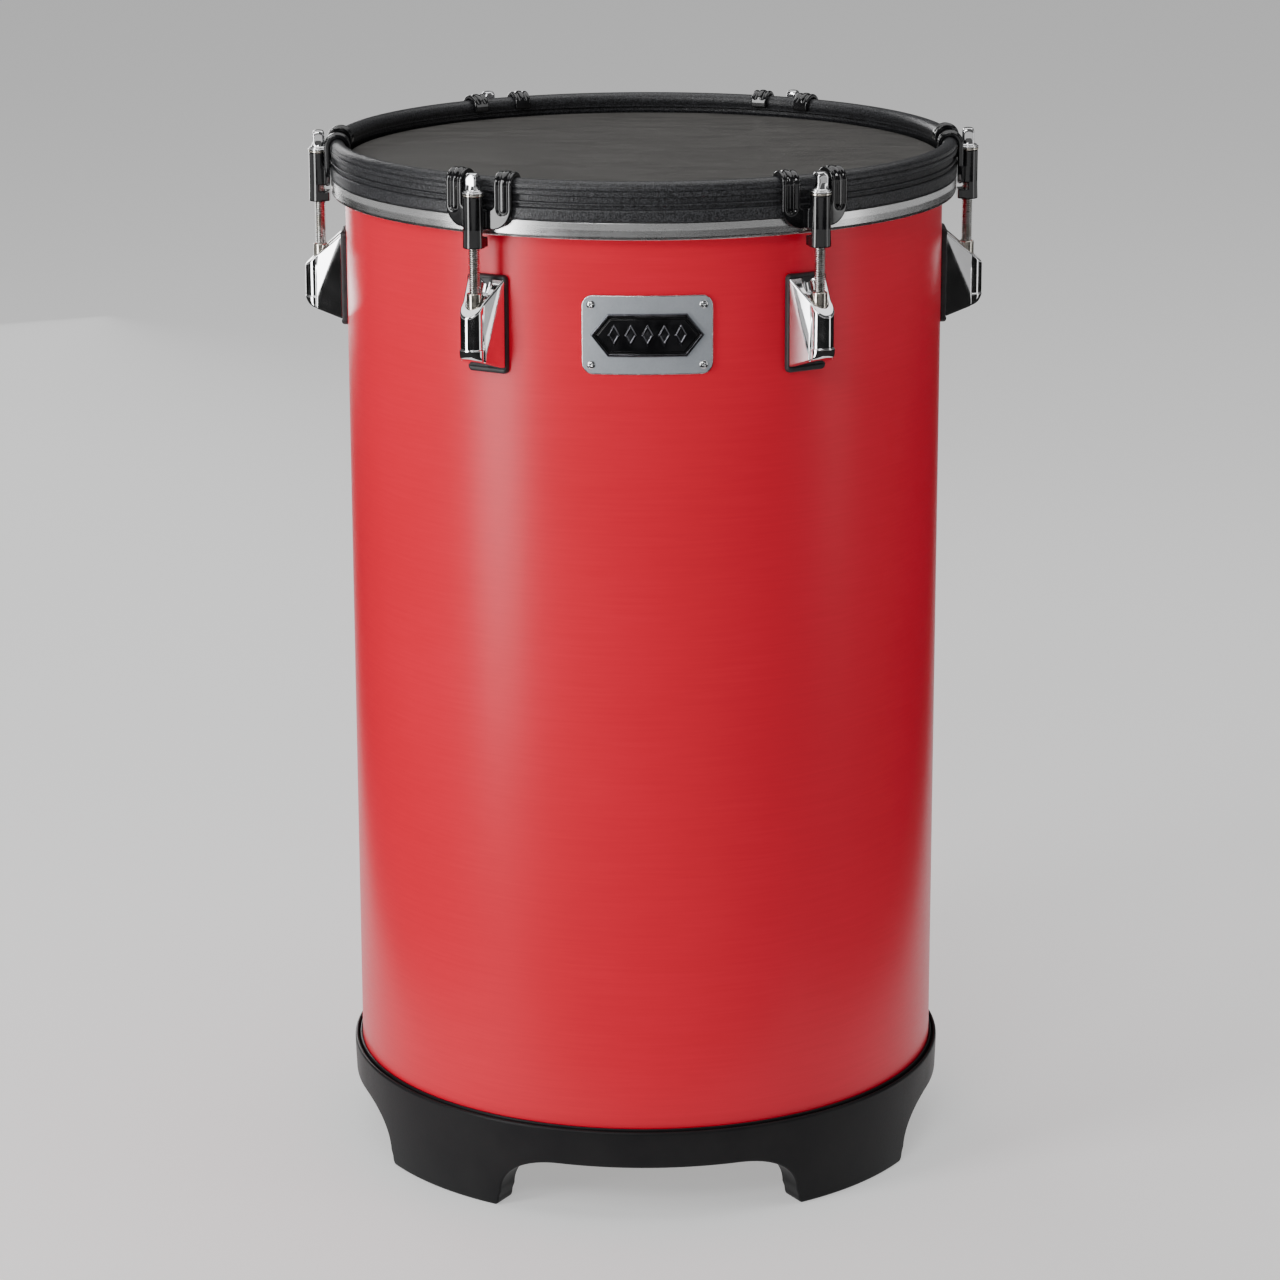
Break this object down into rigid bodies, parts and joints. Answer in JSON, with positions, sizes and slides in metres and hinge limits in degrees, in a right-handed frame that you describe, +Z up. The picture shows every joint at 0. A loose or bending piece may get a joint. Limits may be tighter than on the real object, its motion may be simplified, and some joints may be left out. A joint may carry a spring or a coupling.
{
  "type": "tunable floor hand drum",
  "caption": "Tall cylindrical hand drum with one key-tuned head, hooked claws, wedge lugs and a footed base ring with arches.",
  "frame": {"origin": "centre of the floor footprint, under the drum's axis, on the plane of the foot bottoms", "axes": "+Z up along the drum's axis towards the head; -Y towards the badge; +X to the right when facing the badge"},
  "size_m": [0.347, 0.3184, 0.5326],
  "materials": {
    "shell_ply": "bare moulded fibre-board ply inside the shell",
    "red_covering": "satin red fabric-grained laminate",
    "base_plastic": "satin black moulded plastic",
    "zinc_screws": "bright zinc plate",
    "badge_metal": "satin blue-grey anodised",
    "dark_chrome": "dark polished",
    "film": "dark warm-grey fibre film, satin",
    "hoop_aluminium": "satin rolled",
    "resin": "cast resin",
    "textured_black": "fine-textured black powder coat",
    "gloss_black": "gloss black enamel",
    "chrome": "polished",
    "nickel": "polished nickel plate",
    "nylon": "natural nylon",
    "gasket_rubber": "black"
  },
  "bodies": {
    "shell": {"badge_emblem": "dark_chrome", "badge_plate": "badge_metal", "badge_screws": "zinc_screws", "base_screws": "zinc_screws", "foot_ring": "base_plastic", "lug_casing_1": "chrome", "lug_casing_2": "chrome", "lug_casing_3": "chrome", "lug_casing_4": "chrome", "lug_casing_5": "chrome", "lug_casing_6": "chrome", "lug_gasket_1": "gasket_rubber", "lug_gasket_2": "gasket_rubber", "lug_gasket_3": "gasket_rubber", "lug_gasket_4": "gasket_rubber", "lug_gasket_5": "gasket_rubber", "lug_gasket_6": "gasket_rubber", "lug_screws": "zinc_screws", "nut_bushes": "nylon", "screw_washers": "zinc_screws", "shell_covering": "red_covering", "shell_tube": "shell_ply", "swivel_nut_1": "nickel", "swivel_nut_2": "nickel", "swivel_nut_3": "nickel", "swivel_nut_4": "nickel", "swivel_nut_5": "nickel", "swivel_nut_6": "nickel"},
    "head": {"counterhoop": "textured_black", "flesh_hoop": "hoop_aluminium", "hoop_resin": "resin", "drumhead_film": "film", "rod_washers": "nickel", "claw_1": "gloss_black", "claw_2": "gloss_black", "claw_3": "gloss_black", "claw_4": "gloss_black", "claw_5": "gloss_black", "claw_6": "gloss_black"},
    "rod_1": {"tension_rod_1": "chrome"},
    "rod_2": {"tension_rod_2": "chrome"},
    "rod_3": {"tension_rod_3": "chrome"},
    "rod_4": {"tension_rod_4": "chrome"},
    "rod_5": {"tension_rod_5": "chrome"},
    "rod_6": {"tension_rod_6": "chrome"}
  },
  "joints": [
    {"name": "head_tension", "type": "slide", "parent": "shell", "child": "head", "axis": [0, 0, 1], "range_m": [-0.004, 0.006], "deforming": ["drumhead_film"]},
    {"name": "rod_1_turn", "type": "hinge", "parent": "head", "child": "rod_1", "pos_m": [0.0826, -0.14307, 0.5], "axis": [0, 0, 1], "range_deg": [-1440, 2160]},
    {"name": "rod_2_turn", "type": "hinge", "parent": "head", "child": "rod_2", "pos_m": [0.1652, 0, 0.5], "axis": [0, 0, 1], "range_deg": [-1440, 2160]},
    {"name": "rod_3_turn", "type": "hinge", "parent": "head", "child": "rod_3", "pos_m": [0.0826, 0.14307, 0.5], "axis": [0, 0, 1], "range_deg": [-1440, 2160]},
    {"name": "rod_4_turn", "type": "hinge", "parent": "head", "child": "rod_4", "pos_m": [-0.0826, 0.14307, 0.5], "axis": [0, 0, 1], "range_deg": [-1440, 2160]},
    {"name": "rod_5_turn", "type": "hinge", "parent": "head", "child": "rod_5", "pos_m": [-0.1652, 0, 0.5], "axis": [0, 0, 1], "range_deg": [-1440, 2160]},
    {"name": "rod_6_turn", "type": "hinge", "parent": "head", "child": "rod_6", "pos_m": [-0.0826, -0.14307, 0.5], "axis": [0, 0, 1], "range_deg": [-1440, 2160]}
  ],
  "couplings": [
    {"joint": "rod_1_turn", "follows": "head_tension", "rad_per_m": 5937.1},
    {"joint": "rod_2_turn", "follows": "head_tension", "rad_per_m": 5937.1},
    {"joint": "rod_3_turn", "follows": "head_tension", "rad_per_m": 5937.1},
    {"joint": "rod_4_turn", "follows": "head_tension", "rad_per_m": 5937.1},
    {"joint": "rod_5_turn", "follows": "head_tension", "rad_per_m": 5937.1},
    {"joint": "rod_6_turn", "follows": "head_tension", "rad_per_m": 5937.1}
  ]
}
